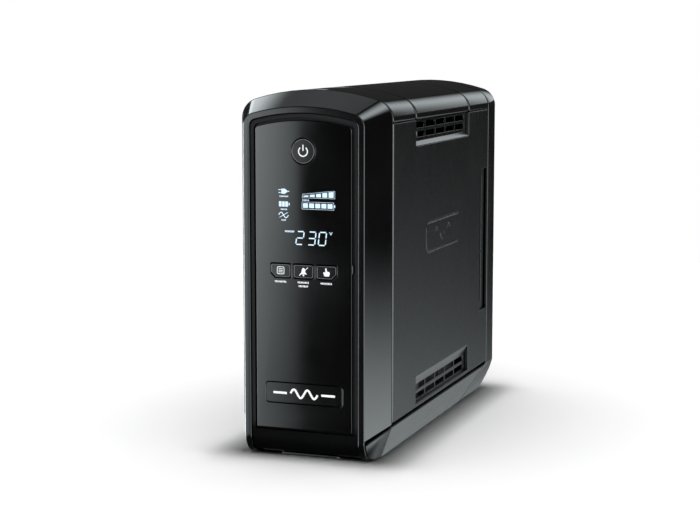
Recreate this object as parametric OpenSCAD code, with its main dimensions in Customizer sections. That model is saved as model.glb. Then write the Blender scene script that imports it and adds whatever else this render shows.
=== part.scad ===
// Tower uninterruptible power supply: arched case, lit front panel, swappable battery,
// line transformer, control board and a rear wall with six earthed outlets.
// Frame: X to the right when facing the front, Y towards the rear, Z up, floor at Z = 0.

/* [Case] */
// Width across the side panels
body_w = 100; // [98:0.5:104]
// Depth from the front rim to the rear edge
body_d = 265; // [262:1:270]
// Height from the floor to the crown of the top
body_h = 230; // [229:0.5:234]
// Thickness of the moulded shells
wall = 2.5; // [2.2:0.1:2.8]
// Width of the seams between shells
seam = 1.6; // [1.2:0.1:1.7]
// Width of the seams across the top
top_seam = 2.6; // [2:0.1:3]
// Radius of the arched top
arch_r = 138.5; // [130:0.5:150]
// Radius between the arched top and the sides
shoulder_r = 13; // [11:0.5:14]
// Height of the seam between the base and the side panels
skirt_z = 21.2; // [20:0.2:22]
// How far the skirt leans in at the bottom, each side
skirt_in = 6; // [5.6:0.1:6.2]
// Height of the rubber feet
foot_h = 1.2; // [1:0.1:1.4]

/* [Front] */
// Width of the flat front rim
rim_w = 79.2; // [78:0.2:80]
// Height of the top of the front rim
rim_top = 220.3; // [219:0.1:221]
// Width of the rim band around the front panel
rim_band = 4; // [3.6:0.1:4.2]
// Depth of the tapered front shell
front_depth = 23.8; // [23:0.1:24.5]
// Radius of the curve under the front
chin_r = 13; // [12:0.1:13.4]
// Width of the glossy faceplate
panel_w = 63; // [62:0.2:63.4]
// Height of the top of the faceplate
panel_top = 211.9; // [211:0.1:212.4]
// Height of the bottom of the faceplate
panel_low = 19.7; // [19:0.1:21]
// Height of the centre of the power button
power_z = 193.1; // [190:0.1:195]
// Radius of the power button
power_r = 7.6; // [7:0.1:8]
// Height of the centre of the three keys
key_z = 119.2; // [117:0.1:121]
// Distance between neighbouring keys
key_pitch = 15.1; // [14.8:0.1:15.4]
// Travel of the power button
power_travel = 1.2; // [0.8:0.1:1.4]

/* [Sides] */
// Front end of the vent recesses
vent_front = -62.4; // [-63:0.1:-61]
// Rear end of the vent recesses
vent_rear = 59.2; // [58:0.1:60]
// Distance between neighbouring vent ribs
rib_pitch = 22.4; // [22:0.1:22.8]

/* [Rear] */
// Radius of the curve under the rear
heel_r = 27; // [26:0.5:28]
// Distance between the two columns of outlets
outlet_dx = 43.4; // [43.2:0.1:43.8]
// Distance between the rows of outlets
outlet_dz = 44; // [43.4:0.2:44.4]
// Height of the lowest row of outlets
outlet_z = 78; // [77:0.5:79]
// Radius of an outlet's recess
outlet_r = 19.3; // [19:0.1:19.4]
// Depth of an outlet's recess
outlet_deep = 17.5; // [17:0.1:17.6]
// Height of the centre of the mains inlet
inlet_z = 43; // [42.5:0.1:43.5]
// Height of the centre of the data ports
port_z = 203; // [201:0.5:204]

/* [Inside] */
// Battery width, depth and height
battery = [65, 94, 151];
// Battery door travel
door_travel = 26; // [24:1:28]
// Side of the square fan frame
fan_w = 70; // [68:1:72]
// Transformer core width, depth and height
core = [78, 46, 66];

/* [Hidden] */

$fn = 48;
eps = 0.01;
arc_steps = 10;

half_w = body_w / 2;
front_y = -body_d / 2;
rear_y = body_d / 2;
seam_a = front_y + front_depth;
seam_d = 110;
seam_top = 209.7;
floor_z = foot_h + 3;

rim_half = rim_w / 2;
rim_arch = 130;
rim_corner = 8;
chin_z = foot_h;
flank_fall = 7.1;
corner_gap = 1.6;
cheek_t = 2.8;
bezel_recess = 1.2;
bezel_gap = 0.3;
bezel_wall = 2;
panel_t = 3;
panel_recess = 0.2;
key_recess = 0.1;
panel_arch = 120;
panel_groove = 1.5;
panel_back = front_y + panel_t;
backing_t = 1.6;

foot_x = 39.4;
foot_ys = [-88, 89];
foot_w = 7.6;
foot_l = 22;

key_w = 12.8;
key_h = 8.2;
key_gap = 0.5;
key_cut = 4.2;
key_room = 0.9;
flange_rest = 1.2;
switch_h = 3.4;
post_x = 27;
post_zs = [108, 202];
lens_half = 22;
lens_zs = [130.5, 176];
key_xs = [-key_pitch, 0, key_pitch];
board_front = front_y + 12.5;
board_t = 1.6;

badge_w = 51;
badge_z0 = 35.7;
badge_z1 = 49;
badge_deep = 1.2;

lower_vent_z = 25;
lower_vent_top = 43.7;
upper_vent_z = 192.8;
slot_front = 90;
slot_z0 = 63;
slot_z1 = 167;
slot_pitch = 18.8;
emblem_z = 131.5;
emblem_w = 80;
emblem_h = 20.6;
emblem_line = 1.2;
wave_r = 5;
panel_chamfer = 1.2;

grille_t = 1.2;
grille_rim = 2;
cell_h = 3.8;
rib_w = 1.4;
upper_rows = [200.1, 206];
lower_rows = [28.3, 34.5];
sill_h = 2.8;
hood_low = 37.2;

rear_face = rear_y - wall;
rear_panel_t = 2.4;
outlet_wall = 1;
outlet_rise = 1.4;
plate_z0 = 55.9;
plate_z1 = 188;
inlet_x = -20;
inlet_hole = [28, 20.4];
inlet_deep = 16;
network_xs = [-26, -6];
network_w = 16;
network_h = 14;
usb_x = 16;
usb_w = 12;
usb_h = 11;
port_gap = 0.2;
flange_t = 1.6;
pin_dx = 9.5;
sleeve_r = 2.6;
breaker_x = 22;
breaker_r = 5;
boss_r = 3.2;
boss_y = 119;

battery_front = -108.5;
bay_wall = 1.5;
bay_gap = 2;
bay_top = 162;
door_half = 33;
door_front = front_y + chin_r + 0.5;
door_rear = -13.3;
door_t = 2;
door_slot = foot_h + door_t + 0.3;
door_lip_half = 18.5;
rail_w = 1.8;
rail_top = foot_h + 2;
heel_foot = 55.4;
heel_lean = 2.604;
skirt_top = 30;
lip_t = 2.5;
lip_rear = 98;

shelf_t = 2;
shelf_rear = 84;
pcb_z = bay_top + shelf_t + 6;
pcb_half = 42;
pcb_top = pcb_z + board_t;
sink_x = 20;
sink_y = -92;
sink_h = 32;
fin_pitch = 11.2;
cap_r = 8;
cap_h = 32;
relay_size = [20, 15.5, 16];
ring_r = 11.5;
coil_r = 6.4;

fan_y = 78;
fan_t = 15;
fan_z = bay_top - fan_w / 2;
fan_hub = 13;
fan_bolt = fan_w / 2 - 4.5;
blades = 7;

// ---------- outlines and prisms ----------

// Arched outline in X and Z, from the low right corner round to the low left one.
function arched(half, top, arch, corner, low) =
    let (cx = half - corner)
    let (reach = arch - corner)
    let (cz = top - arch + sqrt(reach * reach - cx * cx))
    let (lean = asin(cx / reach))
    concat(
        [[half, low]],
        [for (i = [0:arc_steps]) let (a = (90 - lean) * i / arc_steps)
            [cx + corner * cos(a), cz + corner * sin(a)]],
        [for (i = [1:arc_steps - 1]) let (a = 90 - lean + 2 * lean * i / arc_steps)
            [arch * cos(a), top - arch + arch * sin(a)]],
        [for (i = [0:arc_steps]) let (a = 90 + lean + (90 - lean) * i / arc_steps)
            [-cx + corner * cos(a), cz + corner * sin(a)]],
        [[-half, low]]
    );

// Arched outline of the case above a given height, moved inwards by inset.
function case_arch(inset, low) =
    arched(half_w - inset, body_h - inset, arch_r - inset, shoulder_r - inset, low);

// Whole outline of the case with its leaning skirt.
function case_outline(inset) = concat(
    [[half_w - skirt_in - inset, foot_h + inset]],
    case_arch(inset, skirt_z),
    [[-half_w + skirt_in + inset, foot_h + inset]]
);

// Outline of the front rim, moved inwards by inset.
function rim_arch_points(inset, low) =
    arched(rim_half - inset, rim_top - inset, rim_arch - inset, rim_corner - inset * 0.8, low);

// Side profile of the front in Y and Z with the curve under the chin.
function front_profile(inset, back) = concat(
    [[back, chin_z + inset]],
    [for (i = [0:arc_steps]) let (a = 270 - 90 * i / arc_steps)
        [front_y + chin_r + (chin_r - inset) * cos(a), chin_z + chin_r + (chin_r - inset) * sin(a)]],
    [[front_y + inset, body_h + 1], [back, body_h + 1]]
);

// Side profile of the rear in Y and Z with the curve under the heel.
function rear_profile(inset, front) = concat(
    [[front, foot_h + inset]],
    [for (i = [0:arc_steps]) let (a = 270 + 90 * i / arc_steps)
        [rear_y - heel_r + (heel_r - inset) * cos(a), foot_h + heel_r + (heel_r - inset) * sin(a)]],
    [[rear_y - inset, body_h + 1], [front, body_h + 1]]
);

// Prism along Y between two depths, from points in X and Z.
module prism_y(points, y0, y1)
    translate([0, y1, 0])
        rotate([90, 0, 0])
            linear_extrude(y1 - y0)
                polygon(points);

// Prism along X between two stations, from points in Y and Z.
module prism_x(points, x0, x1)
    translate([x0, 0, 0])
        rotate([90, 0, 90])
            linear_extrude(x1 - x0)
                polygon(points);

// Flat plate in the XZ plane from y0 to y1, drawn by its children in X and Z.
module plate_y(y0, y1)
    translate([0, y1, 0])
        rotate([90, 0, 0])
            linear_extrude(y1 - y0)
                children();

// Box given by its low and high corners.
module block(low, high)
    translate(low)
        cube(high - low);

// Cylinder along Y between two depths.
module rod_y(x, z, r, y0, y1)
    translate([x, y1, z])
        rotate([90, 0, 0])
            cylinder(h = y1 - y0, r = r);

// Rectangle with round corners, centred.
module round_rect(w, h, r) {
    square([w - 2 * r, h], center = true);
    square([w, h - 2 * r], center = true);
    for (x = [-1, 1], y = [-1, 1])
        translate([x * (w / 2 - r), y * (h / 2 - r)])
            circle(r);
}

// Its children on the right, and their mirror image on the left.
module both_sides() {
    children();
    mirror([1, 0, 0])
        children();
}

// ---------- front ----------

// Height of the slanted lower edge of the front shell's flank at a given depth.
function flank_low(y) = skirt_z + seam / 2 + (y - seam_a) * flank_fall / front_depth;

// Ground below the slanted lower edge of the flanks, in Y and Z.
function below_flank() = [
    [seam_a + 8, flank_low(seam_a)],
    [seam_a, flank_low(seam_a)],
    [front_y - 1, flank_low(front_y - 1)],
    [front_y - 1, 0],
    [seam_a + 8, 0]
];

// Space above the base's front corners, in Y and Z: the gap under the flanks widens forwards.
function above_corner() = [
    [seam_a + 0.5, flank_low(seam_a) - seam],
    [seam_a + 0.5, 40],
    [front_y - 2, 40],
    [front_y - 2, flank_low(front_y - 2) - seam - corner_gap]
];

// Solid form of the tapered front, from the rim back to the first seam.
module front_form()
    intersection() {
        hull() {
            prism_y(rim_arch_points(0, chin_z), front_y, front_y + eps);
            prism_y(case_arch(0, chin_z), seam_a - seam / 2 - eps, seam_a - seam / 2);
        }
        prism_x(front_profile(0, seam_a + 1), -half_w, half_w);
    }

// Space inside the front shell.
module front_cavity()
    hull() {
        prism_y(rim_arch_points(wall, 0), front_y + wall, front_y + wall + eps);
        prism_y(case_arch(wall, 0), seam_a, seam_a + 1);
    }

// Band just inside the case from y0 to y1 that backs a seam between two shells.
// It is fused to its own shell from own0 to own1, and clears the neighbour elsewhere.
module seam_backing(y0, y1, own0, own1, low)
    difference() {
        union() {
            prism_y(case_arch(wall + 0.05, low), y0, y1);
            prism_y(case_arch(wall - 0.8, low), own0, own1);
        }
        prism_y(case_arch(wall + backing_t, low - 2), y0 - 1, y1 + 1);
    }

module front_shell() color("#1b1b1d") {
    difference() {
        front_form();
        front_cavity();
        prism_y(rim_arch_points(rim_band, 0), front_y - 1, seam_a + 1);
        both_sides()
            prism_x(below_flank(), rim_half, half_w + 1);
    }
    both_sides()
        cheek();
    difference() {
        seam_backing(seam_a - 3, seam_a + 4, seam_a - 3, seam_a - 1, skirt_z + 2);
        front_outside();
    }
}

// Lower end of the rim on one side, which curves under to the base.
module cheek()
    intersection() {
        difference() {
            prism_x(front_profile(0, seam_a - seam / 2), rim_half - rim_band, rim_half);
            prism_x(front_profile(cheek_t, seam_a), 0, half_w);
        }
        block([0, front_y, 0], [half_w, seam_a, skirt_z + 4]);
    }

// Space outside the front shell's own surface, used to trim its backing band.
module front_outside()
    difference() {
        block([-half_w - 1, front_y - 1, 0], [half_w + 1, seam_a - seam / 2, body_h + 1]);
        hull() {
            prism_y(rim_arch_points(1, chin_z), front_y, front_y + eps);
            prism_y(case_arch(1, chin_z), seam_a - seam / 2, seam_a - seam / 2 + eps);
        }
    }

// Face of one key, grown by a gap; the outer keys have their low outer corner cut off.
module key_face(x, grow, corner)
    difference() {
        round_rect(key_w + 2 * grow, key_h + 2 * grow, corner);
        if (x != 0)
            translate([sign(x) * (key_w / 2 + grow), -key_h / 2 - grow])
                rotate(45)
                    square(key_cut, center = true);
    }

// Opening in the faceplate for one key.
module key_hole(x, y0, y1)
    translate([x, 0, key_z])
        plate_y(y0, y1)
            key_face(x, key_gap, 1.2);

module inner_bezel() color("#08080a") {
    bezel_inset = rim_band + bezel_gap;
    difference() {
        union() {
            intersection() {
                prism_y(rim_arch_points(bezel_inset, chin_z), front_y, seam_a - 3);
                prism_x(front_profile(bezel_recess, seam_a), -half_w, half_w);
            }
            prism_y(rim_arch_points(wall + 0.4, 26), front_y + wall, front_y + wall + 1.8);
        }
        intersection() {
            prism_y(rim_arch_points(bezel_inset + bezel_wall, 0), front_y, seam_a);
            prism_x(front_profile(bezel_recess + panel_t + 1, seam_a), -half_w, half_w);
        }
        prism_y(
            arched(panel_w / 2 + panel_groove, panel_top + panel_groove,
                panel_arch + panel_groove, 2 + panel_groove, panel_low - panel_groove),
            front_y - 1, panel_back);
        rod_y(0, power_z, power_r + 2, front_y, front_y + 9);
        translate([0, 0, key_z])
            plate_y(front_y, front_y + 9)
                round_rect(2 * key_pitch + key_w + 3, key_h + 3, 1.5);
        block([-lens_half, front_y, lens_zs[0]], [lens_half, front_y + 9, lens_zs[1]]);
        block([-half_w, front_y, 0], [half_w, seam_a, door_slot]);
    }
    for (x = [-post_x, post_x], z = post_zs)
        rod_y(x, z, 2.2, panel_back + 2, board_front);
}

module faceplate() color("#141518")
    difference() {
        prism_y(arched(panel_w / 2, panel_top, panel_arch, 2, panel_low),
            front_y + panel_recess, panel_back);
        rod_y(0, power_z, power_r + 0.45, front_y - 1, panel_back + 1);
        for (x = key_xs)
            key_hole(x, front_y - 1, panel_back + 1);
        translate([0, 0, (badge_z0 + badge_z1) / 2])
            plate_y(front_y - 1, front_y + badge_deep)
                round_rect(badge_w, badge_z1 - badge_z0, 2.4);
    }

module badge_plate() color("#101113")
    translate([0, 0, (badge_z0 + badge_z1) / 2])
        plate_y(front_y + panel_recess + 0.1, front_y + badge_deep)
            round_rect(badge_w - 0.6, badge_z1 - badge_z0 - 0.6, 2.1);

// The button has a collar behind the faceplate and a stem over its switch.
module power_button() color("#17181b") {
    difference() {
        rod_y(0, power_z, power_r, front_y + key_recess, panel_back + 2.6);
        rod_y(0, power_z, power_r - 1.6, panel_back, panel_back + 3);
    }
    difference() {
        rod_y(0, power_z, power_r + 1.3, panel_back + 0.1, panel_back + 1.3);
        rod_y(0, power_z, power_r - 1, panel_back - 1, panel_back + 3);
    }
    rod_y(0, power_z, 2, panel_back, board_front - switch_h - power_travel);
}

// One key cap with a flange behind the faceplate and a stem over its switch.
module key_cap(x) {
    translate([x, 0, key_z]) {
        plate_y(front_y + key_recess, panel_back + 0.1)
            key_face(x, 0, 1);
        plate_y(panel_back + 0.1, panel_back + flange_rest)
            round_rect(key_w + 1.7, key_h + 1.8, 1);
    }
    rod_y(x, key_z, 1.8, panel_back + flange_rest, board_front - switch_h - key_room);
}

module display_key() color("#1a1b1e")
    key_cap(key_xs[0]);

module mute_key() color("#1a1b1e")
    key_cap(key_xs[1]);

module control_key() color("#1a1b1e")
    key_cap(key_xs[2]);

// Four tactile switches on the front of the display board.
module key_switches() color("#2f3136")
    for (p = [[0, power_z], [key_xs[0], key_z], [key_xs[1], key_z], [key_xs[2], key_z]]) {
        translate([p[0] - 3, board_front - 2.6, p[1] - 3])
            cube([6, 2.6, 6]);
        rod_y(p[0], p[1], 1.6, board_front - 3.2, board_front - 2.6);
    }

module display_board() color("#1f5a33")
    difference() {
        block([-30, board_front, 104], [30, board_front + board_t, 206]);
        for (x = [-post_x, post_x], z = post_zs)
            rod_y(x, z, 1.1, board_front - 1, board_front + board_t + 1);
    }

module lcd_module() color("#0b1a2b")
    difference() {
        block([1 - lens_half, panel_back + 0.2, lens_zs[0] + 1],
            [lens_half - 1, board_front, lens_zs[1] - 1]);
        block([3 - lens_half, panel_back + 3, lens_zs[0] + 3],
            [lens_half - 3, board_front + 1, lens_zs[1] - 3]);
    }

// Flat ribbon from the display board back to the main board.
module ribbon_cable() color("#8a8d91")
    prism_x([
        [board_front + board_t, 183], [-104, 183], [-99, 178], [-99, pcb_top],
        [-98, pcb_top], [-98, 178.4], [-103.6, 184], [board_front + board_t, 184]
    ], -9, 9);

// ---------- base ----------

// Line of the slanted seam between the skirt and the rear shell.
function heel_seam(z) = heel_foot + z * heel_lean;

// Outline of the leaning skirt, in X and Z.
skirt = [
    [half_w - skirt_in, foot_h], [half_w - 0.2, skirt_z - seam / 2],
    [-half_w + 0.2, skirt_z - seam / 2], [-half_w + skirt_in, foot_h]
];

// Solid form of the base, whose front corners curve round to the cheeks of the front shell.
module base_form()
    hull() {
        prism_y(skirt, seam_a, 112);
        block([-half_w + skirt_in, seam_a - 4, foot_h], [half_w - skirt_in, seam_a, foot_h + 0.4]);
        prism_x(concat(
            [for (i = [0:arc_steps]) let (a = 270 - 84 * i / arc_steps)
                [front_y + chin_r + (chin_r - 0.6) * cos(a), chin_z + chin_r + (chin_r - 0.6) * sin(a)]],
            [[seam_a, chin_z + chin_r - 1], [seam_a, foot_h]]
        ), -rim_half, rim_half);
        both_sides()
            translate([rim_half, front_y + chin_r, foot_h])
                cylinder(h = 3, r = 2.2, $fn = 24);
    }

// A lip behind each side panel closes the seam above the skirt.
module base_pan() color("#1d1e20") {
    both_sides()
        translate([half_w - wall - 0.1 - lip_t, seam_a + 1.5, skirt_z - 3])
            cube([lip_t, lip_rear - seam_a - 1.5, 4.7]);
    difference() {
        base_form();
        block([-half_w + skirt_in + wall, front_y + 16, floor_z],
            [half_w - skirt_in - wall, 120, skirt_top]);
        block([-rim_half - 0.3, front_y - 1, 0], [rim_half + 0.3, seam_a + 0.3, skirt_top]);
        prism_x(above_corner(), -half_w - 1, half_w + 1);
        prism_x([
            [heel_seam(0), 0], [heel_seam(skirt_top), skirt_top], [rear_y, skirt_top], [rear_y, 0]
        ], -half_w - 1, half_w + 1);
        block([-door_half - 0.3, front_y - 1, 0], [door_half + 0.3, door_rear + 0.3, floor_z + 1]);
        translate([-door_half - rail_w - 0.3, front_y - 1, foot_h + 1])
            cube([2 * door_half + 2 * rail_w + 0.6, door_rear - front_y + 1.3, 1.2]);
    }
}

// Slides forward in the two grooves of the base, and its lip is the finger hold.
module battery_door() color("#1a1b1d") {
    block([-door_half, door_front, foot_h], [door_half, door_rear, foot_h + door_t]);
    both_sides()
        block([door_half, -100, foot_h + 1.2], [door_half + rail_w, door_rear, rail_top]);
    block([-door_lip_half, door_front - 3.4, 0.4], [door_lip_half, door_front + 1, foot_h + 1]);
    for (i = [0:5])
        block([-22, -90 + 12 * i, foot_h - 0.5], [22, -88 + 12 * i, foot_h]);
}

// One foot at each corner, the rear pair under the rear shell.
module rubber_feet() color("#2a2a2a")
    for (x = [-foot_x, foot_x], y = foot_ys)
        translate([x, y, 0])
            linear_extrude(foot_h)
                round_rect(foot_w, foot_l, foot_w / 2 - 0.1);

// ---------- sides ----------

// Window of the upper vent as seen from the side, in Y and Z.
module upper_window()
    translate([(vent_front + vent_rear) / 2, upper_vent_z + 15])
        round_rect(vent_rear - vent_front, 30, 1.2);

// Window of the lower vent as seen from the side, in Y and Z.
module lower_window()
    translate([(vent_front + vent_rear) / 2 + 2, (lower_vent_z + lower_vent_top) / 2])
        round_rect(vent_rear - vent_front + 1, lower_vent_top - lower_vent_z, 1);

// Plate normal to X between two stations, drawn by its children in Y and Z.
module plate_x(x0, x1)
    translate([x0, 0, 0])
        rotate([90, 0, 90])
            linear_extrude(x1 - x0)
                children();

// Shallow engraved frame, open at the rear, around a plain rising wave.
module emblem_lines() {
    difference() {
        translate([0, emblem_z])
            round_rect(emblem_w, emblem_h, 5);
        translate([0, emblem_z])
            round_rect(emblem_w - 2 * emblem_line, emblem_h - 2 * emblem_line, 5 - emblem_line);
        translate([emblem_w / 2 - 6, emblem_z - emblem_h])
            square([emblem_w, 2 * emblem_h]);
    }
    for (i = [0:2])
        translate([(i - 1) * 2 * wave_r * 1.4 - 4, emblem_z])
            difference() {
                circle(wave_r);
                circle(wave_r - 1.6);
                translate([-wave_r - 1, i % 2 == 0 ? -2 * wave_r : 0])
                    square(2 * wave_r + 2);
            }
}

// Flat panel with chamfered outer edges, which widen the look of the seams.
module panel_blank() {
    y0 = seam_a + seam / 2;
    y1 = seam_d - seam / 2;
    z0 = skirt_z + seam / 2;
    z1 = seam_top - 0.3;
    intersection() {
        prism_y([
            [half_w - wall, z0], [half_w - panel_chamfer, z0], [half_w, z0 + panel_chamfer],
            [half_w, z1], [half_w - wall, z1]
        ], y0, y1);
        translate([0, 0, z0])
            linear_extrude(z1 - z0)
                polygon([
                    [half_w - wall, y0], [half_w - panel_chamfer, y0], [half_w, y0 + panel_chamfer],
                    [half_w, y1 - panel_chamfer / 2], [half_w - panel_chamfer / 2, y1], [half_w - wall, y1]
                ]);
    }
}

module side_panel() {
    difference() {
        panel_blank();
        plate_x(half_w - wall - 1, half_w + 1) {
            upper_window();
            lower_window();
        }
        block([half_w - wall - 1, slot_front, slot_z0], [half_w + 1, seam_d + 1, slot_z1]);
        plate_x(half_w - 0.5, half_w + 1)
            emblem_lines();
    }
}

// Rows of five cells between ribs, cut from a plate in Y and Z.
module vent_cells(y_mid, rows)
    for (i = [0:4], z = rows)
        translate([y_mid + (i - 2) * rib_pitch, z])
            square([rib_pitch - rib_w, cell_h], center = true);

// Plate behind a window in the side panel, with two rows of cells.
module cell_plate(y_mid, z_mid, height, rows) {
    face = half_w - wall;
    difference() {
        plate_x(face - grille_t, face)
            translate([y_mid, z_mid])
                square([vent_rear - vent_front + 2 * grille_rim, height], center = true);
        plate_x(face - grille_t - 1, face + 1)
            vent_cells(y_mid, rows);
    }
}

// Upper grille with a sloping sill, lower grille with a sloping hood, and the rear slot's louvres.
module grilles() {
    face = half_w - wall;
    lip = half_w - 0.1;
    mid = (vent_front + vent_rear) / 2;
    cell_plate(mid, upper_vent_z + 8.2, 17.2, upper_rows);
    prism_y([
        [face, upper_vent_z + 0.1], [lip, upper_vent_z + 0.1],
        [lip, upper_vent_z + 0.4], [face, upper_vent_z + 0.1 + sill_h]
    ], vent_front + 0.6, vent_rear - 0.6);
    cell_plate(mid + 2, (lower_vent_z + lower_vent_top) / 2, 20.4, lower_rows);
    prism_y([
        [face, hood_low], [lip, lower_vent_top - 0.4],
        [lip, lower_vent_top - 0.1], [face, lower_vent_top - 0.1]
    ], vent_front + 2.6, vent_rear + 1.4);
    difference() {
        block([face - grille_t, slot_front - 2, slot_z0 - 2], [face, seam_d - 2, slot_z1 + 2]);
        for (i = [0:4])
            translate([face - grille_t - 1, slot_front + 1.5, slot_z0 + 6 + slot_pitch * i])
                cube([4, 10, slot_pitch - 1.6]);
    }
}

module right_side_panel() color("#222326")
    side_panel();

module left_side_panel() color("#222326")
    mirror([1, 0, 0])
        side_panel();

module right_grilles() color("#191a1c")
    grilles();

module left_grilles() color("#191a1c")
    mirror([1, 0, 0])
        grilles();

// ---------- top ----------

// Arched strip of the top between two depths.
module top_strip(y0, y1)
    difference() {
        prism_y(case_arch(0, seam_top + 0.2), y0, y1);
        prism_y(case_arch(wall, 0), y0 - 1, y1 + 1);
    }

module top_front_cover() color("#1c1d1f")
    top_strip(seam_a + seam / 2, vent_front - top_seam / 2);

module top_cap() color("#1c1d1f") {
    top_strip(vent_front + top_seam / 2, vent_rear - top_seam / 2);
    seam_backing(vent_front - 5, vent_front + 5, vent_front + 2, vent_front + 5, seam_top + 1);
    seam_backing(vent_rear - 5, vent_rear + 5, vent_rear - 5, vent_rear - 2, seam_top + 1);
}

module top_rear_cover() color("#1c1d1f")
    top_strip(vent_rear + top_seam / 2, seam_d - seam / 2);

// ---------- rear ----------

module rear_form(inset)
    hull() {
        prism_y(case_outline(inset), 60, rear_y - 4);
        prism_y(case_outline(inset + 2.5), rear_y - 4, rear_y);
    }

module rear_shell() color("#161719") {
    difference() {
        intersection() {
            rear_form(0);
            prism_x(rear_profile(0, 60), -half_w - 1, half_w + 1);
        }
        intersection() {
            prism_y(case_outline(wall), 59, rear_face);
            prism_x(rear_profile(wall, 59), -half_w - 1, half_w + 1);
        }
        prism_y(arched(44, 221, 132, 9, foot_h + heel_r + 2), rear_face - 1, rear_y + 1);
        prism_x([
            [0, 0], [heel_seam(0) + seam / 2, 0], [heel_seam(skirt_z) + seam / 2, skirt_z],
            [seam_d + seam / 2, skirt_z], [seam_d + seam / 2, body_h + 1], [0, body_h + 1]
        ], -half_w - 1, half_w + 1);
    }
    difference() {
        seam_backing(seam_d - 6, seam_d + 3, seam_d + 1, seam_d + 3, skirt_z + 2);
        block([-half_w, 0, slot_z0 - 6], [half_w, seam_d + 1, slot_z1 + 6]);
    }
    for (p = screw_places())
        difference() {
            union() {
                rod_y(p[0], p[1], boss_r, boss_y, rear_face - rear_panel_t);
                translate([p[0] > 0 ? p[0] : -half_w + wall, boss_y, p[1] - 1.2])
                    cube([half_w - wall - abs(p[0]), rear_face - rear_panel_t - boss_y, 2.4]);
            }
            rod_y(p[0], p[1], 1.5, boss_y - 1, rear_face);
        }
}

// Places of the screws that hold the three rear plates, in X and Z.
function screw_places() = [[-40.4, 48], [40.4, 48], [-40.4, 100], [40.4, 100], [-40, 196], [40, 196]];

// Centres of the six outlets, in X and Z.
function outlet_place(i) = [outlet_dx * (i % 2 - 0.5), outlet_z + outlet_dz * floor(i / 2)];

// The rear wall between two heights, with its screw holes.
module rear_wall(z0, z1)
    difference() {
        intersection() {
            prism_y(arched(46.5, 223.5, 134, 10, foot_h + heel_r + 0.4),
                rear_face - rear_panel_t, rear_face);
            block([-half_w, 100, z0], [half_w, rear_y, z1]);
        }
        for (p = screw_places())
            rod_y(p[0], p[1], 1.8, 120, rear_y);
    }

module rear_panel() color("#26272a")
    difference() {
        rear_wall(plate_z0 + 0.2, plate_z1 - 0.2);
        for (i = [0:5])
            rod_y(outlet_place(i)[0], outlet_place(i)[1], outlet_r + outlet_wall + 0.1, 120, rear_y);
    }

// Lower plate round the mains inlet and the breaker.
module inlet_plate() color("#26272a")
    difference() {
        rear_wall(0, plate_z0);
        translate([inlet_x, 0, inlet_z])
            plate_y(120, rear_y)
                square(inlet_hole, center = true);
        rod_y(breaker_x, inlet_z, breaker_r + 1.6, 120, rear_y);
    }

// Upper plate round the data ports.
module port_plate() color("#26272a")
    difference() {
        rear_wall(plate_z1, body_h);
        for (x = network_xs)
            translate([x, 0, port_z])
                plate_y(120, rear_y)
                    square([network_w + 2 * port_gap, network_h + 2 * port_gap], center = true);
        translate([usb_x, 0, port_z])
            plate_y(120, rear_y)
                square([usb_w + 2 * port_gap, usb_h + 2 * port_gap], center = true);
    }

// Round earthed outlet: a cup with a flange, two pin holes and notches for its earth clips.
module outlet(i) {
    place = outlet_place(i);
    face = rear_face + outlet_rise;
    cup_end = face - outlet_deep;
    translate([place[0], 0, place[1]])
        difference() {
            union() {
                rod_y(0, 0, outlet_r + 2.1, rear_face, face);
                rod_y(0, 0, outlet_r + outlet_wall, cup_end - 1.5, rear_face);
                rod_y(0, 0, 14, cup_end - 7, cup_end - 1.5);
            }
            rod_y(0, 0, outlet_r, cup_end, face + 1);
            for (x = [-pin_dx, pin_dx])
                rod_y(x, 0, sleeve_r, cup_end - 8, cup_end + 1);
            for (z = [-1, 1])
                earth_clip(cup_end, z, 0.4);
        }
}

// Strip for an earth clip in the wall of an outlet, reaching inwards by the given depth.
module earth_clip(cup_end, side, inwards)
    translate([0, cup_end - 1.5, side * (outlet_r + 0.4 - inwards / 2)])
        translate([-2.5, 0, -0.35 - inwards / 2])
            cube([5, 14, 0.7 + inwards]);

module outlet_1() color("#0f1012") outlet(0);
module outlet_2() color("#0f1012") outlet(1);
module outlet_3() color("#0f1012") outlet(2);
module outlet_4() color("#0f1012") outlet(3);
module outlet_5() color("#0f1012") outlet(4);
module outlet_6() color("#0f1012") outlet(5);

// Two socket sleeves and two spring earth clips in each outlet.
module outlet_contacts() color("#c9b26a")
    for (i = [0:5])
        translate([outlet_place(i)[0], rear_face + outlet_rise - outlet_deep, outlet_place(i)[1]]) {
            for (x = [-pin_dx, pin_dx])
                difference() {
                    rod_y(x, 0, sleeve_r, -7, -0.4);
                    rod_y(x, 0, sleeve_r - 0.5, -5.5, 1);
                }
            for (z = [-1, 1])
                earth_clip(0, z, 0);
        }

// Four upright strips that join the outlets' sleeves, one for each row of pins.
module outlet_busbars() color("#b8864b")
    for (i = [0:1], x = [-pin_dx, pin_dx])
        translate([outlet_place(i)[0] + x - 3, rear_face + outlet_rise - outlet_deep - 8.2, outlet_z - 6])
            cube([6, 1.2, 2 * outlet_dz + 12]);

module inlet_housing() color("#101113")
    translate([inlet_x, 0, inlet_z])
        difference() {
            union() {
                plate_y(rear_face, rear_face + flange_t)
                    round_rect(inlet_hole[0] + 6, inlet_hole[1] + 3, 2);
                plate_y(rear_face - inlet_deep - 4, rear_face)
                    square([inlet_hole[0] - 0.4, inlet_hole[1] - 0.4], center = true);
            }
            plate_y(rear_face - inlet_deep, rear_face + 2)
                polygon([[-12, -8], [12, -8], [12, 3.6], [7.6, 8], [-7.6, 8], [-12, 3.6]]);
            for (p = inlet_pin_places())
                translate([p[0] - 1, rear_face - inlet_deep - 5, p[1] - 2])
                    cube([2, 6, 4]);
        }

function inlet_pin_places() = [[-7, -2], [0, 2], [7, -2]];

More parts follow.
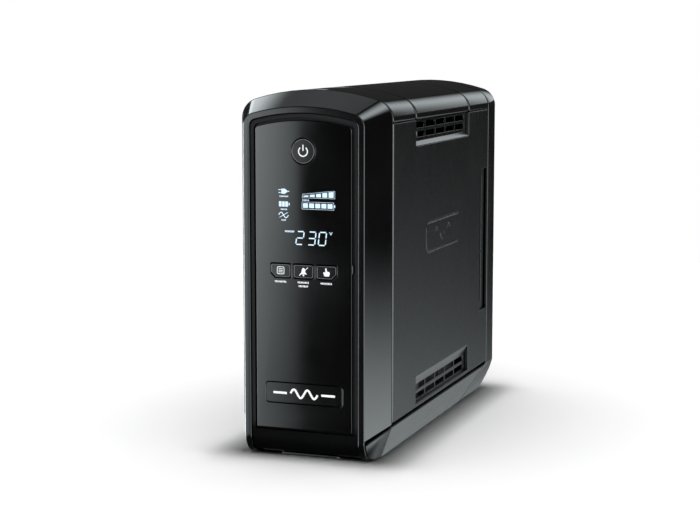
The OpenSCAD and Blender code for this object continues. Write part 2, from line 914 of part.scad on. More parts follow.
module inlet_pins() color("#c8c9cc")
    translate([inlet_x, 0, inlet_z])
        for (p = inlet_pin_places())
            translate([p[0] - 1, rear_face - inlet_deep - 8, p[1] - 2])
                cube([2, inlet_deep + 3, 4]);

module breaker_body() color("#141517")
    translate([breaker_x, 0, inlet_z])
        difference() {
            union() {
                rod_y(0, 0, breaker_r + 3.2, rear_face, rear_face + flange_t);
                rod_y(0, 0, breaker_r + 1.5, rear_face - rear_panel_t, rear_face);
                block([-9, rear_face - 24, -11], [9, rear_face - rear_panel_t, 11]);
            }
            rod_y(0, 0, breaker_r - 1.6, rear_face - 12, rear_face + 2);
        }

module breaker_button() color("#b9bbbf")
    rod_y(breaker_x, inlet_z, breaker_r - 1.8, rear_face - 8, rear_face + 1.9);

module usb_port() color("#a9acb0")
    translate([usb_x, 0, port_z])
        difference() {
            block([-usb_w / 2, rear_face - 14, -usb_h / 2], [usb_w / 2, rear_face + 0.6, usb_h / 2]);
            block([1 - usb_w / 2, rear_face - 11, 0.9 - usb_h / 2],
                [usb_w / 2 - 1, rear_face + 1, usb_h / 2 - 0.9]);
        }

module network_ports() color("#1b1c1e")
    for (x = network_xs)
        translate([x, 0, port_z])
            difference() {
                translate([-network_w / 2, rear_face - 16, -network_h / 2])
                    cube([network_w, 16.6, network_h]);
                block([2 - network_w / 2, rear_face - 13, -5], [network_w / 2 - 2, rear_face + 1, 3.5]);
                block([-3, rear_face - 6, 3], [3, rear_face + 1, 5.2]);
            }

// Pan head screws of the rear plates.
module rear_screws() color("#8f9296")
    for (p = screw_places()) {
        rod_y(p[0], p[1], 1.45, rear_face - 9, rear_face);
        difference() {
            rod_y(p[0], p[1], 3, rear_face, rear_face + 1.9);
            translate([p[0] - 2, rear_face + 1, p[1] - 0.4])
                cube([4, 2, 0.8]);
            translate([p[0] - 0.4, rear_face + 1, p[1] - 2])
                cube([0.8, 2, 4]);
        }
    }

// ---------- battery ----------

bay_half = battery[0] / 2 + bay_gap;
battery_rear = battery_front + battery[1];

module battery_bay() color("#9a9da1")
    difference() {
        block([-bay_half - bay_wall, battery_front - 3, floor_z],
            [bay_half + bay_wall, battery_rear + 3, bay_top]);
        block([-bay_half, battery_front - 1.5, 0], [bay_half, battery_rear + 1.5, bay_top + 1]);
        block([-30, battery_rear, 138], [30, battery_rear + 4, bay_top + 1]);
    }

module battery_case() color("#3a3c40") {
    block([-battery[0] / 2, battery_front, floor_z + 0.6],
        [battery[0] / 2, battery_rear, floor_z + 0.6 + battery[2]]);
}

terminal_z = 149;
terminal_x = 22;
lead_y = battery_rear + 8;

// Flat blade of one battery terminal.
module terminal(x)
    block([x - 3.2, battery_rear, terminal_z - 0.4], [x + 3.2, battery_rear + 6.3, terminal_z + 0.4]);

module battery_terminals() color("#c0c2c5")
    for (x = [-terminal_x, terminal_x])
        terminal(x);

// Lead with a push-on sleeve over its terminal, rising to the main board.
module lead(x)
    difference() {
        union() {
            block([x - 4, battery_rear + 1.5, terminal_z - 2.5],
                [x + 4, battery_rear + 10.5, terminal_z + 2.5]);
            translate([x, lead_y, terminal_z])
                cylinder(h = pcb_z - terminal_z, r = 2);
        }
        terminal(x);
    }

module red_lead() color("#b3261e")
    lead(terminal_x);

module black_lead() color("#151515")
    lead(-terminal_x);

// ---------- transformer ----------

core_front = 16;
core_low = floor_z + 2;
core_leg = 27;
core_window = [13, 40];

module transformer_core() color("#5c5f63")
    plate_y(core_front, core_front + core[1])
        translate([0, core_low + core[2] / 2])
            difference() {
                square([core[0], core[2]], center = true);
                for (s = [-1, 1])
                    translate([s * (core_leg + core_window[0]) / 2, 0])
                        square(core_window, center = true);
            }

module transformer_coil() color("#b06a2c")
    translate([0, core_front + core[1] / 2, core_low + 14])
        linear_extrude(core[2] - 28)
            difference() {
                round_rect(core_leg + 2 * core_window[0] - 0.8, core[1] + 24, 6);
                square([core_leg + 0.6, core[1] + 0.6], center = true);
            }

module transformer_bracket() color("#aeb1b5") {
    block([-core[0] / 2 - 1.7, core_front, floor_z], [core[0] / 2 + 1.7, core_front + 44, floor_z + 2]);
    both_sides()
        block([core[0] / 2 + 0.2, core_front + 4, floor_z + 2],
            [core[0] / 2 + 1.7, core_front + 40, floor_z + 30]);
}

// ---------- boards ----------

// Centres of the four main board supports, in X and Y.
function pcb_supports() = [[-38, -100], [38, -100], [-38, 72], [38, 72]];

module board_shelf() color("#85888c") {
    difference() {
        block([-half_w + wall, -104, bay_top], [half_w - wall, shelf_rear, bay_top + shelf_t]);
        for (x = [-terminal_x, terminal_x])
            translate([x, lead_y, bay_top - 1])
                cylinder(h = shelf_t + 2, r = 4);
        for (y = [10, 30, 50])
            block([-24, y, bay_top - 1], [24, y + 10, bay_top + shelf_t + 1]);
    }
    for (p = pcb_supports())
        translate([p[0], p[1], bay_top + shelf_t])
            difference() {
                cylinder(h = pcb_z - bay_top - shelf_t, r = 3.2);
                translate([0, 0, -1])
                    cylinder(h = 9, r = 1.25);
            }
}

module main_board() color("#1d6b3a")
    difference() {
        block([-pcb_half, -104, pcb_z], [pcb_half, 76, pcb_top]);
        for (p = pcb_supports())
            translate([p[0], p[1], pcb_z - 1])
                cylinder(h = board_t + 2, r = 1.5);
    }

module board_screws() color("#b5b7bb")
    for (p = pcb_supports())
        translate([p[0], p[1], 0]) {
            translate([0, 0, pcb_z - 4])
                cylinder(h = board_t + 4, r = 1.2);
            translate([0, 0, pcb_top])
                cylinder(h = 1.8, r = 2.8);
        }

// Two extruded sinks with upright fins, one on each side of the board.
module heat_sinks() color("#a7aaae")
    both_sides() {
        block([sink_x, sink_y, pcb_top], [sink_x + 3, sink_y + 70, pcb_top + sink_h]);
        for (i = [0:6])
            translate([sink_x + 3, sink_y + fin_pitch * i, pcb_top])
                cube([15, 2.8, sink_h - 2]);
    }

module power_transistors() color("#202124")
    both_sides()
        for (y = [-82, -62, -42]) {
            block([sink_x - 4.5, y, pcb_top + 6], [sink_x, y + 10, pcb_top + 21]);
            block([17, y + 4.4, pcb_top], [17.8, y + 5.6, pcb_top + 6]);
        }

module capacitors() color("#22324f")
    for (p = [[0, -84], [0, -62], [0, -40], [-28, -6], [-28, 62]])
        translate([p[0], p[1], pcb_top])
            difference() {
                cylinder(h = cap_h, r = cap_r);
                translate([0, 0, cap_h - 0.4])
                    difference() {
                        cylinder(h = 1, r = cap_r - 1.6);
                        cylinder(h = 1, r = cap_r - 2.4);
                    }
            }

module relays() color("#1f4f9c")
    for (y = [0, 20, 40])
        translate([14, y, pcb_top])
            cube(relay_size);

module inductor() color("#b87333")
    translate([-24, 28, pcb_top + coil_r + 0.6])
        rotate_extrude()
            translate([ring_r, 0])
                circle(coil_r);

module buzzer() color("#111111")
    translate([2, -14, pcb_top])
        difference() {
            cylinder(h = 9, r = 6);
            translate([0, 0, 8])
                cylinder(h = 2, r = 1);
        }

// ---------- fan ----------

module fan_frame() color("#1a1a1b")
    difference() {
        union() {
            difference() {
                translate([0, 0, fan_z])
                    plate_y(fan_y, fan_y + fan_t)
                        round_rect(fan_w, fan_w, 3);
                rod_y(0, fan_z, fan_w / 2 - 2, fan_y - 1, fan_y + fan_t + 1);
            }
            rod_y(0, fan_z, fan_hub - 1, fan_y, fan_y + 2);
            for (a = [45:90:315])
                translate([0, fan_y, fan_z])
                    rotate([0, a, 0])
                        block([11, 0, -1.5], [fan_w / 2 - 1, 2, 1.5]);
            rod_y(0, fan_z, 1.5, fan_y + 2, fan_y + 12);
        }
        for (x = [-1, 1], z = [-1, 1])
            rod_y(x * fan_bolt, fan_z + z * fan_bolt, 1.8, fan_y - 1, fan_y + fan_t + 1);
    }

module fan_rotor() color("#232325")
    translate([0, fan_y + 3, fan_z]) {
        difference() {
            rod_y(0, 0, fan_hub, 0, 10.5);
            rod_y(0, 0, 1.55, -1, 9.4);
        }
        for (i = [0:blades - 1])
            rotate([0, 360 / blades * i, 0])
                translate([fan_hub - 0.6, 5.2, 0])
                    rotate([35, 0, 0])
                        translate([0, -0.7, -7])
                            cube([18.6, 1.4, 14]);
    }

// ---------- the assembly ----------

front_shell();
inner_bezel();
faceplate();
badge_plate();
power_button();
display_key();
mute_key();
control_key();
base_pan();
battery_door();
rubber_feet();
right_side_panel();
left_side_panel();
right_grilles();
left_grilles();
top_front_cover();
top_cap();
top_rear_cover();
rear_shell();
rear_panel();
inlet_plate();
port_plate();
outlet_1();
outlet_2();
outlet_3();
outlet_4();
outlet_5();
outlet_6();
outlet_contacts();
outlet_busbars();
inlet_housing();
inlet_pins();
breaker_body();
breaker_button();
usb_port();
network_ports();
battery_bay();
battery_case();
battery_terminals();
red_lead();
black_lead();
transformer_core();
transformer_coil();
transformer_bracket();
board_shelf();
main_board();
heat_sinks();
power_transistors();
capacitors();
relays();
inductor();
buzzer();
display_board();
lcd_module();
key_switches();
ribbon_cable();
fan_frame();
fan_rotor();
rear_screws();
board_screws();
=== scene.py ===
import math

import bmesh
import bpy
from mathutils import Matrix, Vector

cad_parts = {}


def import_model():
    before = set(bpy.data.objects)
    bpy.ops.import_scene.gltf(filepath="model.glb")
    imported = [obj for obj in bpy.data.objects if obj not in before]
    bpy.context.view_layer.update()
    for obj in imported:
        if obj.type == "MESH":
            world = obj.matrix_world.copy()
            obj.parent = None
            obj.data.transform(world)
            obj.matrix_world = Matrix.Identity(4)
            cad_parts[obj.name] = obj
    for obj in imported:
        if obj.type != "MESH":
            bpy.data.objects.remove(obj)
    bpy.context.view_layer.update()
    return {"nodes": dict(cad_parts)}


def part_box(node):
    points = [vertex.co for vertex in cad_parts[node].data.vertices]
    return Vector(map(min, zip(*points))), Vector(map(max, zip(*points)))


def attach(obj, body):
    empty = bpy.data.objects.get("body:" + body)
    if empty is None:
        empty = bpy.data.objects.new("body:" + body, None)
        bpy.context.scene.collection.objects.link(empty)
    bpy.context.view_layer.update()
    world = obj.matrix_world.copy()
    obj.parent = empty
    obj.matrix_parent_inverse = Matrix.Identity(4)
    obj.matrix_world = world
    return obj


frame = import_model()

MM = 0.001
NODES = frame["nodes"]


# ---------- material kit ----------


class Mat:
    """A material under construction: its node tree, its shader and short ways to add nodes."""

    def __init__(self, name, **sockets):
        self.material = bpy.data.materials.new(name)
        self.material.use_nodes = True
        self.tree = self.material.node_tree
        self.shader = self.tree.nodes["Principled BSDF"]
        self.coords = self.tree.nodes.new("ShaderNodeTexCoord").outputs
        self.where = self.coords["Object"]
        for key, value in sockets.items():
            self.shader.inputs[key.replace("_", " ")].default_value = value

    def add(self, kind, **inputs):
        """Adds a node; an underscore in an input's name stands for a space."""
        node = self.tree.nodes.new("ShaderNode" + kind)
        for key, value in inputs.items():
            socket = node.inputs[key.replace("_", " ")]
            if isinstance(value, bpy.types.NodeSocket):
                self.tree.links.new(value, socket)
            else:
                socket.default_value = value
        return node

    def put(self, value, socket):
        """Gives a socket a link, a colour or a number."""
        if isinstance(value, bpy.types.NodeSocket):
            self.tree.links.new(value, socket)
        elif isinstance(value, tuple):
            socket.default_value = (*value, 1)
        else:
            socket.default_value = value

    def use(self, socket, value):
        self.put(value, self.shader.inputs[socket])

    def stretch(self, x, y, z):
        return self.add("Mapping", Vector=self.where, Scale=(x, y, z)).outputs["Vector"]

    def noise(self, scale, detail=3.0, vector=None, rough=0.55):
        vector = vector or self.where
        node = self.add("TexNoise", Vector=vector, Scale=scale, Detail=detail, Roughness=rough)
        return node.outputs["Fac"]

    def scaled(self, value, low, high, start=0.3, end=0.7, smooth=False):
        """Maps start..end to low..high, and holds both ends."""
        node = self.add("MapRange", Value=value, From_Min=start, From_Max=end, To_Min=low, To_Max=high)
        node.interpolation_type = "SMOOTHSTEP" if smooth else "LINEAR"
        return node.outputs["Result"]

    def tones(self, value, dark, light, start=0.3, end=0.7):
        """Colour that runs from dark at start to light at end."""
        node = self.add("ValToRGB", Fac=value)
        for element, place, colour in zip(node.color_ramp.elements, (start, end), (dark, light)):
            element.position = place
            element.color = (*colour, 1)
        return node.outputs["Color"]

    def mix(self, value, a, b):
        """Mixes two colours; the colour sockets of a Mix node are reached by number."""
        node = self.add("Mix")
        node.data_type = "RGBA"
        for given, number in ((value, 0), (a, 6), (b, 7)):
            self.put(given, node.inputs[number])
        return node.outputs[2]

    def calc(self, operation, a, b):
        node = self.add("Math")
        node.operation = operation
        self.put(a, node.inputs[0])
        self.put(b, node.inputs[1])
        return node.outputs[0]

    def bump(self, height, depth, strength=1.0):
        """Bump of a depth in millimetres."""
        node = self.add("Bump", Height=height, Strength=strength, Distance=depth * MM)
        self.use("Normal", node.outputs["Normal"])


def grey(value, blue=0.0):
    return (value, value, value * (1 + blue))


def dimmed(colour, share):
    return tuple(part * share for part in colour)


def moulded(name, base, rough, grain=0.35, depth=0.006, blue=0.03, vary=0.05, painted_shade_below=None):
    """Moulded plastic: spark-eroded grain, flow marks, uneven sheen, and less sheen below a height,
    which paints shade there.
    """
    m = Mat(name)
    fine = m.noise(1.0 / (grain * MM), detail=4.0)
    cloud = m.noise(22.0, detail=4.0)
    m.use("Base Color", m.tones(cloud, grey(base * 0.88, blue), grey(base * 1.12, blue)))
    patch = m.scaled(cloud, rough - vary, rough + vary)
    speck = m.scaled(fine, -0.03, 0.03)
    m.use("Roughness", m.calc("ADD", patch, speck))
    m.bump(fine, depth)
    # below the given height the sheen falls away: painted shade on the bezel's chin
    if painted_shade_below is not None:
        height = m.add("SeparateXYZ", Vector=m.where).outputs["Z"]
        sheen = m.scaled(height, 0.03, 0.2, painted_shade_below - 1 * MM, painted_shade_below + 4 * MM)
        m.use("Specular IOR Level", sheen)
    return m.material


def gloss(name, base, rough, coat, coat_rough):
    """Glossy lacquered plastic with faint waviness and a little dust."""
    m = Mat(name, Coat_Weight=coat, Coat_Roughness=coat_rough)
    cloud = m.noise(14.0)
    dust = m.noise(900.0, detail=6.0, rough=0.7)
    specks = m.scaled(dust, 0.0, 1.0, 0.66, 0.72)
    body = m.tones(cloud, grey(base * 0.85, 0.05), grey(base * 1.15, 0.05))
    m.use("Base Color", m.mix(specks, body, grey(base * 2.2)))
    m.use("Roughness", m.scaled(cloud, rough - 0.03, rough + 0.03))
    m.bump(m.noise(9.0, detail=2.0), 0.01, strength=0.2)
    return m.material


def metal(name, colour, rough, along=(1, 1, 1), scale=700.0):
    """Metal with drawn or rolled lines along one axis and a little tarnish."""
    m = Mat(name, Metallic=1.0)
    lines = m.noise(scale, detail=5.0, vector=m.stretch(*along))
    tarnish = m.noise(60.0, detail=4.0)
    m.use("Base Color", m.tones(tarnish, dimmed(colour, 0.88), colour, 0.35, 0.65))
    m.use("Roughness", m.scaled(lines, rough - 0.07, rough + 0.07))
    m.bump(lines, 0.004)
    return m.material


def spangled(name, colour, rough):
    """Galvanised sheet with its crystal pattern."""
    m = Mat(name, Metallic=0.9)
    cells = m.add("TexVoronoi", Vector=m.where, Scale=130.0)
    shade = m.scaled(cells.outputs["Color"], 0.0, 1.0, 0.0, 1.0)
    m.use("Base Color", m.tones(shade, dimmed(colour, 0.72), colour, 0.0, 1.0))
    m.use("Roughness", m.scaled(shade, rough - 0.08, rough + 0.1, 0.0, 1.0))
    m.bump(m.noise(500.0), 0.004)
    return m.material


def banded(name, colour, dark, bands, axis, metallic, rough):
    """Stacked sheets or wound wire: even bands along one axis."""
    m = Mat(name, Metallic=metallic)
    wave = m.add("TexWave", Vector=m.where, Scale=bands, Distortion=0.3, Detail=1.0)
    wave.bands_direction = axis
    height = wave.outputs["Fac"]
    m.use("Base Color", m.tones(height, dark, colour, 0.15, 0.6))
    m.use("Roughness", m.scaled(m.noise(300.0), rough - 0.06, rough + 0.06))
    m.bump(height, 0.03)
    return m.material


def circuit(name, base, trace):
    """Solder-masked board with tracks and small pads."""
    m = Mat(name, Coat_Weight=0.3, Coat_Roughness=0.2)
    brick = m.add("TexBrick", Vector=m.where, Scale=60.0, Mortar_Size=0.018)
    brick.offset = 0.37
    pads = m.add("TexVoronoi", Vector=m.where, Scale=330.0)
    spots = m.scaled(pads.outputs["Distance"], 1.0, 0.0, 0.1, 0.16)
    tracks = m.mix(brick.outputs["Fac"], base, trace)
    m.use("Base Color", m.mix(spots, tracks, (0.55, 0.56, 0.52)))
    m.use("Roughness", m.scaled(m.noise(200.0), 0.32, 0.5))
    m.bump(brick.outputs["Fac"], 0.02, strength=0.5)
    return m.material


def printed(name, colour, glow=0.0):
    """Screen print, or a lit segment when it glows: slightly uneven ink. White print given a glow is
    painted brightness, not a lamp.
    """
    m = Mat(name, Roughness=0.45)
    ink = m.noise(1400.0)
    shade = m.tones(ink, dimmed(colour, 0.9), colour)
    m.use("Base Color", shade)
    m.use("Emission Color", shade)
    m.use("Emission Strength", glow)
    m.bump(ink, 0.004)
    return m.material


def insulation(name, colour):
    """Soft cable insulation with a faint matt bloom."""
    m = Mat(name, Sheen_Weight=0.1)
    bloom = m.noise(180.0)
    m.use("Base Color", m.tones(bloom, dimmed(colour, 0.8), colour))
    m.use("Roughness", m.scaled(bloom, 0.4, 0.55))
    m.bump(bloom, 0.01)
    return m.material


MATERIALS = {
    # plastics outside
    "shell": moulded("shell_plastic", 0.0025, 0.10, depth=0.0012, vary=0.02),
    "side": moulded("side_plastic", 0.0035, 0.27, depth=0.003, vary=0.03),
    "base": moulded("base_plastic", 0.0035, 0.24, grain=0.5, depth=0.003),
    # grille plastic a little lighter than the case plastic: a painted highlight on the ribs
    "dark": moulded("grille_plastic_painted_highlight", 0.006, 0.18, depth=0.002, vary=0.02),
    # the bezel's chin, below the faceplate, gets painted shade through less sheen
    "bezel": moulded("bezel_plastic", 0.003, 0.42, vary=0.03, painted_shade_below=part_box("faceplate")[0].z),
    "front": gloss("faceplate_gloss", 0.0015, 0.07, coat=0.25, coat_rough=0.04),
    "badge": gloss("badge_gloss", 0.0015, 0.08, coat=0.2, coat_rough=0.05),
    "key": moulded("key_plastic", 0.002, 0.12, grain=0.3, depth=0.001, vary=0.02),
    "rubber": moulded("rubber", 0.018, 0.75, grain=0.8, depth=0.03),
    "rear": moulded("rear_plastic", 0.014, 0.5, grain=0.6, depth=0.02),
    "outlet": moulded("outlet_resin", 0.008, 0.32, grain=0.4, depth=0.004),
    # plastics inside
    "resin": moulded("component_resin", 0.012, 0.5, grain=0.5, depth=0.01),
    "battery": moulded("battery_case", 0.045, 0.55, grain=0.7, depth=0.02),
    "relay": moulded("relay_case", 0.05, 0.35, blue=2.0),
    "sleeve": moulded("capacitor_sleeve", 0.02, 0.28, blue=3.0),
    "switch": moulded("switch_body", 0.03, 0.4),
    "fan": moulded("fan_plastic", 0.010, 0.38),
    "glass": gloss("display_glass", 0.006, 0.12, coat=1.0, coat_rough=0.02),
    "red": insulation("red_insulation", (0.42, 0.02, 0.015)),
    "black": insulation("black_insulation", (0.012, 0.012, 0.012)),
    # metals
    "brass": metal("contact_brass", (0.78, 0.60, 0.28), 0.3, (1, 12, 1)),
    "copper": metal("busbar_copper", (0.85, 0.45, 0.26), 0.32, (8, 8, 1)),
    "nickel": metal("nickel_pin", (0.78, 0.77, 0.74), 0.22, (6, 1, 6)),
    "steel": metal("plated_steel", (0.62, 0.63, 0.65), 0.3, (1, 1, 9)),
    "zinc": metal("zinc_screw", (0.66, 0.67, 0.68), 0.35, scale=900.0),
    "chrome": metal("breaker_cap", (0.55, 0.56, 0.58), 0.25, (9, 1, 9)),
    "alloy": metal("sink_alloy", (0.72, 0.73, 0.75), 0.35, (10, 10, 1)),
    "sheet": spangled("galvanised_sheet", (0.68, 0.70, 0.72), 0.38),
    # stacked, wound and ribbed
    "laminate": banded("core_laminate", (0.30, 0.31, 0.33), (0.05, 0.05, 0.055), 300.0, "Y", 0.8, 0.45),
    "winding": banded("coil_winding", (0.62, 0.30, 0.13), (0.20, 0.07, 0.03), 260.0, "Z", 0.7, 0.33),
    "wire": banded("inductor_wire", (0.70, 0.33, 0.14), (0.22, 0.08, 0.03), 230.0, "DIAGONAL", 0.8, 0.3),
    "ribbon": banded("ribbon_cable", (0.36, 0.37, 0.39), (0.14, 0.145, 0.15), 250.0, "X", 0.0, 0.5),
    # boards
    "main_board": circuit("main_circuit", (0.012, 0.085, 0.03), (0.03, 0.17, 0.06)),
    "small_board": circuit("display_circuit", (0.010, 0.075, 0.035), (0.03, 0.15, 0.06)),
    # printed and lit
    # white print glows though nothing lights it: painted brightness
    "print": printed("white_print_painted_glow", (0.80, 0.81, 0.82), glow=0.55),
    # grey rings and lines that paint edge highlights on the keys, the button and the tab
    "painted_highlight_print": printed("grey_painted_highlight", (0.20, 0.20, 0.21)),
    "lit": printed("lit_segment", (0.52, 0.66, 0.78), glow=0.85),
    "rear_print": printed("rear_print", (0.62, 0.63, 0.64)),
}


def by_node(groups):
    """Turns {value: nodes} into {node: value}."""
    return {node: value for value, nodes in groups.items() for node in nodes}


# the material of each node
FINISH = by_node({
    "shell": ("front_shell", "top_front_cover", "top_cap", "top_rear_cover", "rear_shell"),
    "side": ("right_side_panel", "left_side_panel"),
    "base": ("base_pan", "battery_door"),
    "dark": ("right_grilles", "left_grilles"),
    "bezel": ("inner_bezel",),
    "front": ("faceplate",),
    "badge": ("badge_plate",),
    "key": ("power_button", "display_key", "mute_key", "control_key"),
    "rubber": ("rubber_feet",),
    "rear": ("rear_panel", "inlet_plate", "port_plate"),
    "outlet": (*(f"outlet_{i}" for i in range(1, 7)), "inlet_housing", "breaker_body"),
    "resin": ("network_ports", "transformer_bracket", "power_transistors", "buzzer"),
    "battery": ("battery_case",),
    "relay": ("relays",),
    "sleeve": ("capacitors",),
    "switch": ("key_switches",),
    "fan": ("fan_frame", "fan_rotor"),
    "glass": ("lcd_module",),
    "red": ("red_lead",),
    "black": ("black_lead",),
    "brass": ("outlet_contacts",),
    "copper": ("outlet_busbars",),
    "nickel": ("inlet_pins", "battery_terminals"),
    "steel": ("usb_port",),
    "zinc": ("rear_screws", "board_screws"),
    "chrome": ("breaker_button",),
    "alloy": ("heat_sinks",),
    "sheet": ("battery_bay", "board_shelf"),
    "laminate": ("transformer_core",),
    "winding": ("transformer_coil",),
    "wire": ("inductor",),
    "ribbon": ("ribbon_cable",),
    "main_board": ("main_board",),
    "small_board": ("display_board",),
})

# the bevel of each outer node's edges, in millimetres; every other node has the inner one
OUTER_EDGE = by_node({
    1.2: ("top_front_cover", "top_cap", "top_rear_cover"),
    0.8: ("base_pan",),
    0.6: ("rear_shell",),
    0.5: ("rubber_feet",),
    0.45: ("front_shell",),
    0.4: ("faceplate", "battery_door", "right_side_panel", "left_side_panel"),
    0.35: ("power_button",),
    0.3: ("badge_plate", "display_key", "mute_key", "control_key",
          "rear_panel", "inlet_plate", "port_plate"),
    0.25: ("right_grilles", "left_grilles"),
    0.2: ("inner_bezel",),
})
INNER_EDGE = 0.15

# angles between faces, in degrees
FLAT_ANGLE = 0.5
EDGE_ANGLE = 32
CREASE_ANGLE = 14


def dress(name, node):
    """Rounds the edges of one CAD node and gives it its finish."""
    node.data.materials.clear()
    node.data.materials.append(MATERIALS[FINISH[name]])
    weld = node.modifiers.new("weld", "WELD")
    weld.merge_threshold = 0.001 * MM
    if not name.endswith("grilles"):
        flat = node.modifiers.new("flat", "DECIMATE")
        flat.decimate_type = "DISSOLVE"
        flat.angle_limit = math.radians(FLAT_ANGLE)
    bevel = node.modifiers.new("edges", "BEVEL")
    bevel.limit_method = "ANGLE"
    bevel.angle_limit = math.radians(EDGE_ANGLE)
    bevel.width = OUTER_EDGE.get(name, INNER_EDGE) * MM
    bevel.segments = 2 if name in OUTER_EDGE else 1
    bevel.use_clamp_overlap = False
    bevel.miter_outer = "MITER_ARC"
    if name == "base_pan":
        split = node.modifiers.new("creases", "EDGE_SPLIT")
        split.split_angle = math.radians(CREASE_ANGLE)
        split.use_edge_sharp = False
    else:
        normals = node.modifiers.new("normals", "WEIGHTED_NORMAL")
        normals.keep_sharp = True
    for face in node.data.polygons:
        face.use_smooth = True


def dress_nodes():
    for name, node in NODES.items():
        dress(name, node)


# ---------- thin printed and lit shapes ----------

# how far print stands out of its wall, and how far it reaches into it, in millimetres
INK = 0.04
THIN_INK = 0.03
SUNK = 0.03

FRONT, REAR = -1, 1


def new_object(name, mesh, material):
    """Turns a bmesh into an object of the scene."""
    data = bpy.data.meshes.new(name)
    mesh.to_mesh(data)
    mesh.free()
    data.materials.append(material)
    piece = bpy.data.objects.new(name, data)
    bpy.context.scene.collection.objects.link(piece)
    return piece


def face_of(name):
    """Y of a node's front face, in millimetres."""
    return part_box(name)[0].y / MM


def middle_of(name):
    """X and Z of a node's middle, in millimetres."""
    low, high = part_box(name)
    return (low.x + high.x) / 2 / MM, (low.z + high.z) / 2 / MM


class Flat:
    """Thin shapes on a wall at y, drawn in X and Z from a middle point, in millimetres."""

    def __init__(self, y, thick=INK, out=FRONT, middle=(0.0, 0.0)):
        self.mesh = bmesh.new()
        self.near = y + out * thick
        self.far = y - out * SUNK
        self.x, self.z = middle

    @classmethod
    def on(cls, name, thick=INK):
        """Shapes on the front face of a node, drawn from its middle."""
        return cls(face_of(name), thick, middle=middle_of(name))

    def _ring(self, points):
        """The points as vertices, once on the near side and once on the far side."""
        return [[self.mesh.verts.new(((self.x + x) * MM, y * MM, (self.z + z) * MM)) for x, z in points]
                for y in (self.near, self.far)]

    def poly(self, points):
        near, far = self._ring(points)
        self.mesh.faces.new(near)
        self.mesh.faces.new(list(reversed(far)))
        count = len(points)
        for i in range(count):
            j = (i + 1) % count
            self.mesh.faces.new((near[j], near[i], far[i], far[j]))

    def bar(self, x0, z0, x1, z1):
        self.poly([(x0, z0), (x1, z0), (x1, z1), (x0, z1)])

    def stroke(self, points, width, closed=False):
        """A line of one width through the points, with mitred corners."""
        points = [Vector(p) for p in points]
        count = len(points)
        left, right = [], []
        for i, p in enumerate(points):
            before = points[i - 1] if i or closed else p
            after = points[(i + 1) % count] if i < count - 1 or closed else p
            a, b = p - before, after - p
            a = a.normalized() if a.length else b.normalized()
            b = b.normalized() if b.length else a
            across = Vector((-(a + b).y, (a + b).x)).normalized()
            mitre = max(0.4, across.dot(Vector((-a.y, a.x))))
            reach = across * (width / 2 / mitre)
            left.append(p + reach)
            right.append(p - reach)
        near_left, far_left = self._ring(left)
        near_right, far_right = self._ring(right)
        for i in range(count if closed else count - 1):
            j = (i + 1) % count
            self.mesh.faces.new((near_left[i], near_left[j], near_right[j], near_right[i]))
            self.mesh.faces.new((far_right[i], far_right[j], far_left[j], far_left[i]))
            self.mesh.faces.new((near_left[j], near_left[i], far_left[i], far_left[j]))
            self.mesh.faces.new((near_right[i], near_right[j], far_right[j], far_right[i]))
        if not closed:
            self.mesh.faces.new((near_left[0], near_right[0], far_right[0], far_left[0]))
            self.mesh.faces.new((near_right[-1], near_left[-1], far_left[-1], far_right[-1]))

    def arc(self, x, z, r, width, start=0.0, end=360.0, steps=40):
        closed = end - start >= 360
        count = steps if closed else steps + 1
        angles = [math.radians(start + (end - start) * i / steps) for i in range(count)]
        self.stroke([(x + r * math.cos(a), z + r * math.sin(a)) for a in angles], width, closed)

    def disc(self, x, z, r, steps):
        angles = [math.tau * i / steps for i in range(steps)]
        self.poly([(x + r * math.cos(a), z + r * math.sin(a)) for a in angles])

    def place(self, name, material, body):
        """Makes the shapes a piece that moves with a body."""
        bmesh.ops.recalc_face_normals(self.mesh, faces=self.mesh.faces)
        piece = new_object(name, self.mesh, MATERIALS[material])
        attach(piece, body)


def sine(x, z, length, rise, turns=1, steps=20):
    """Points of a wave that starts at x, z."""
    return [(x + length * i / steps, z + rise * math.sin(math.tau * turns * i / steps))
            for i in range(steps + 1)]


def rounded(width, height, radius, cut=0.0, z=0.0):
    """Outline of a rounded key: cut takes off its low right corner, or the left if negative."""
    points = []
    # the side and level of each corner, and the angle at which its arc starts
    for sx, sz, turn in ((1, 1, 0), (-1, 1, 90), (-1, -1, 180), (1, -1, 270)):
        side, level = sx * width / 2, z + sz * height / 2
        if sz < 0 and sx * cut > 0:
            ends = [(side, level + abs(cut)), (side - cut, level)]
            points.extend(ends[::-sx])
            continue
        for angle in (turn, turn + 45, turn + 90):
            a = math.radians(angle)
            points.append((side + radius * (math.cos(a) - sx), level + radius * (math.sin(a) - sz)))
    return points


TICK_SPACING = 0.9
TICK_SHARE = 0.62


def dashes(flat, x, z, width, height):
    """A row of short upright ticks where a real panel has a word; every third is shorter."""
    count = max(3, round(width / TICK_SPACING))
    pitch = width / count
    for i in range(count):
        left = x - width / 2 + i * pitch
        lift = 0.0 if i % 3 else height * 0.15
        flat.bar(left, z - height / 2 + lift, left + pitch * TICK_SHARE, z + height / 2)


# each segment's ends, across in digit widths and up in half digit heights
SEGMENTS = {
    "a": ((0, 2), (1, 2)), "b": ((1, 2), (1, 1)), "c": ((1, 1), (1, 0)), "d": ((0, 0), (1, 0)),
    "e": ((0, 1), (0, 0)), "f": ((0, 2), (0, 1)), "g": ((0, 1), (1, 1)),
}
DIGITS = {"2": "abged", "3": "abgcd", "0": "abcdef"}


